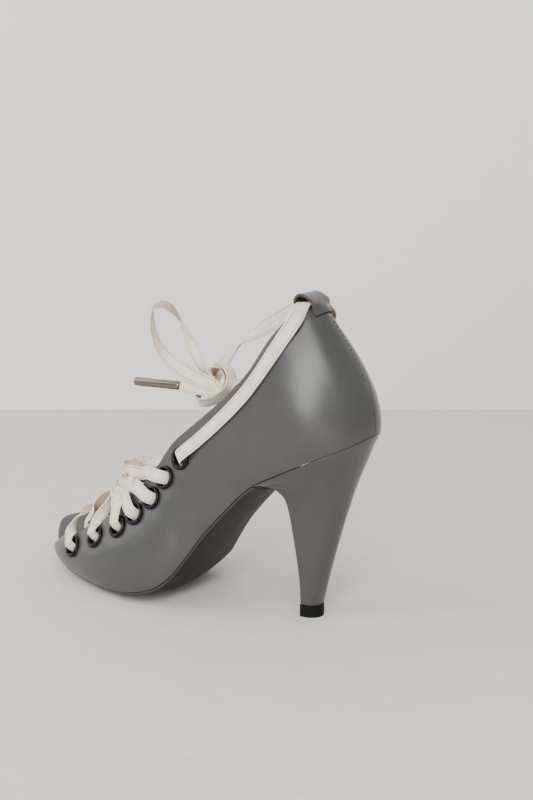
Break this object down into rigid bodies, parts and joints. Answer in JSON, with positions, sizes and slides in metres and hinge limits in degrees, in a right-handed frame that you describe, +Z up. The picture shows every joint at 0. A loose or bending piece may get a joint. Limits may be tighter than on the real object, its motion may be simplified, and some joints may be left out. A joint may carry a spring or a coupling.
{
  "type": "womens lace up heel",
  "caption": "High heeled shoe in grey leather, laced up the front and tied in a bow round an open collar, with a loop at the top of the back.",
  "frame": {"origin": "centre of the top lift's bottom face, where the heel meets the floor", "axes": "+Z up, -Y towards the toe, +X towards the outer side of this left shoe"},
  "size_m": [0.0782, 0.2034, 0.165],
  "materials": {
    "grey_leather": "satin",
    "dark_sole": "matte",
    "tan_sock": "matte",
    "black_rubber": "matte",
    "black_metal": "satin",
    "cream_lace": "matte",
    "silver_metal": "satin"
  },
  "bodies": {
    "root": {"upper": "grey_leather", "toe_vamp": "grey_leather", "outsole": "dark_sole", "insole": "tan_sock", "heel": "grey_leather", "top_lift": "black_rubber", "keeper": "grey_leather", "eyelet_lateral_1": "black_metal", "eyelet_lateral_2": "black_metal", "eyelet_lateral_3": "black_metal", "eyelet_lateral_4": "black_metal", "eyelet_lateral_5": "black_metal", "eyelet_lateral_6": "black_metal", "eyelet_lateral_7": "black_metal", "eyelet_medial_1": "black_metal", "eyelet_medial_2": "black_metal", "eyelet_medial_3": "black_metal", "eyelet_medial_4": "black_metal", "eyelet_medial_5": "black_metal", "eyelet_medial_6": "black_metal", "eyelet_medial_7": "black_metal", "lace_cross_1": "cream_lace", "lace_cross_2": "cream_lace", "lace_cross_3": "cream_lace", "lace_cross_4": "cream_lace", "lace_cross_5": "cream_lace", "lace_cross_6": "cream_lace", "lace_side_lateral": "cream_lace", "lace_side_medial": "cream_lace", "lace_strand_lateral": "cream_lace", "lace_strand_medial": "cream_lace", "lace_knot": "cream_lace", "bow_loop": "cream_lace", "lace_tail_lateral": "cream_lace", "lace_tail_medial": "cream_lace", "aglet_lateral": "silver_metal", "aglet_medial": "silver_metal"}
  },
  "joints": []
}
